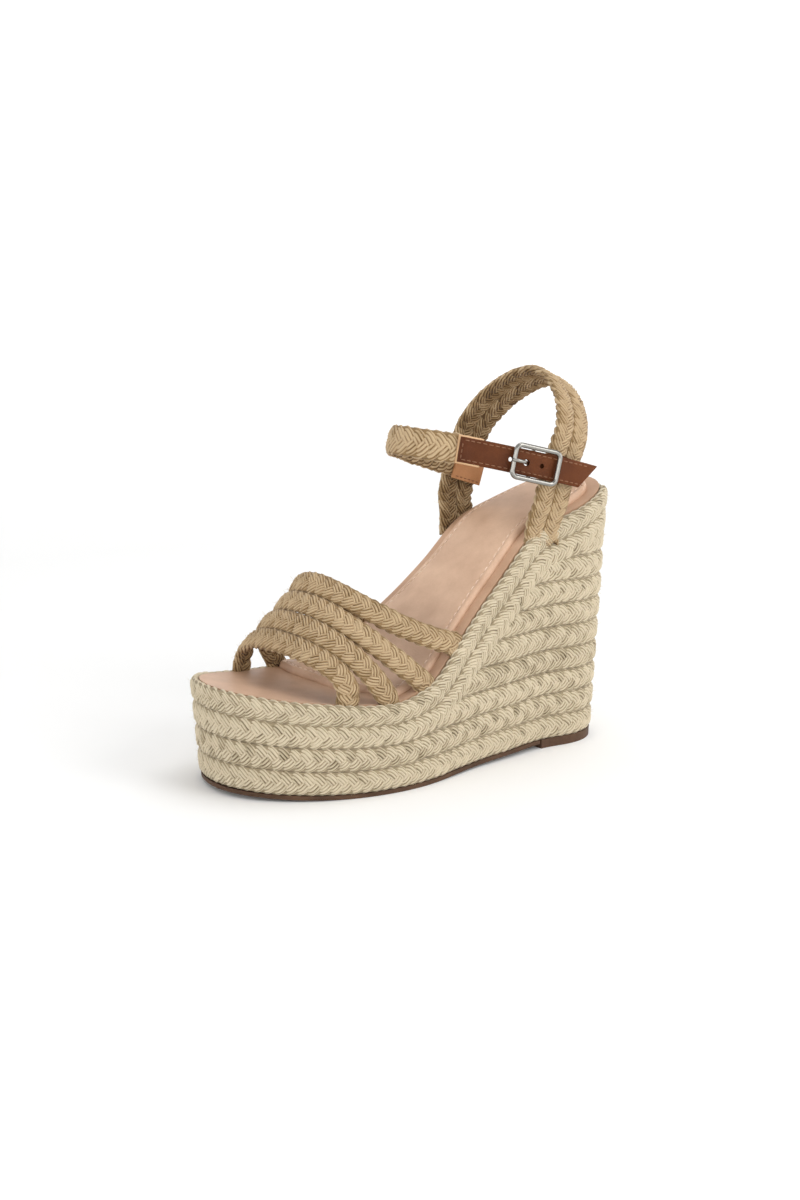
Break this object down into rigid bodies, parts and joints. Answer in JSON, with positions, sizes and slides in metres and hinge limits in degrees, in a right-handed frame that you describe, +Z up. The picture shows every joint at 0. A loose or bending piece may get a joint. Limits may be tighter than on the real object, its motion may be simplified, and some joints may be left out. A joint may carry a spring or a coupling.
{
  "type": "wedge sandal",
  "caption": "High wedge sandal for the left foot: braid-wrapped platform wedge, plaited toe band, looped heel strap and a buckled ankle strap.",
  "frame": {"origin": "on the ground under the middle of the shoe's bounding box", "axes": "+Y from toe to heel, +X to the outer side with the buckle, +Z up"},
  "size_m": [0.101, 0.2297, 0.191],
  "materials": {
    "wedge_jute": "rough braided jute, light",
    "strap_jute": "rough braided jute, golden",
    "strap_leather": "smooth satin leather, reddish brown",
    "footbed_leather": "smooth matte leather, pinkish tan",
    "foam": "soft padding",
    "board": "pressed fibre board",
    "core": "cork wedge",
    "sole_rubber": "matte brown rubber",
    "buckle_metal": "polished nickel plate"
  },
  "bodies": {
    "sandal": {"wrap_row_1": "wedge_jute", "wrap_row_2": "wedge_jute", "wrap_row_3": "wedge_jute", "wrap_row_4": "wedge_jute", "wrap_row_5": "wedge_jute", "wrap_row_6": "wedge_jute", "wrap_row_7": "wedge_jute", "wrap_row_8": "wedge_jute", "wrap_row_9": "wedge_jute", "rim_braid_upper": "wedge_jute", "rim_braid_lower": "wedge_jute", "wedge_core": "core", "outsole": "sole_rubber", "heel_lift": "sole_rubber", "insole_board": "board", "insole_cover": "footbed_leather", "sock_foam": "foam", "sock_leather": "footbed_leather", "vamp_braid_a": "strap_jute", "vamp_braid_b": "strap_jute", "vamp_braid_c": "strap_jute", "vamp_braid_d": "strap_jute", "heel_strap_root_lateral": "strap_jute", "heel_strap_root_medial": "strap_jute"},
    "heel_strap": {"heel_strap_front_braid": "strap_jute", "heel_strap_rear_braid": "strap_jute", "ankle_braid_anchor": "strap_jute", "medial_patch": "strap_leather", "buckle_tab": "strap_leather"},
    "ankle_strap": {"ankle_braid": "strap_jute", "ankle_leather_end": "strap_leather"},
    "buckle_frame": {"buckle_frame": "buckle_metal"},
    "buckle_prong": {"buckle_prong": "buckle_metal"}
  },
  "joints": [
    {"name": "heel_strap_tilt", "type": "hinge", "parent": "sandal", "child": "heel_strap", "pos_m": [0.00132, 0.05828, 0.12657], "axis": [0.9968, 0.0682, 0.0426], "range_deg": [-25, 10], "stiffness_Nm_per_rad": 0.4},
    {"name": "ankle_strap_swing", "type": "hinge", "parent": "heel_strap", "child": "ankle_strap", "pos_m": [-0.02988, 0.04642, 0.1409], "axis": [0, -0.2861, -0.9582], "range_deg": [0, 95], "deforming": ["ankle_leather_end"]},
    {"name": "buckle_pivot", "type": "hinge", "parent": "heel_strap", "child": "buckle_frame", "pos_m": [0.03635, 0.0469, 0.14613], "axis": [0.0083, -0.2541, -0.9671], "range_deg": [0, 50]},
    {"name": "prong_pivot", "type": "hinge", "parent": "buckle_frame", "child": "buckle_prong", "pos_m": [0.03635, 0.0469, 0.14613], "axis": [-0.0083, 0.2541, 0.9671], "range_deg": [0, 85]}
  ]
}
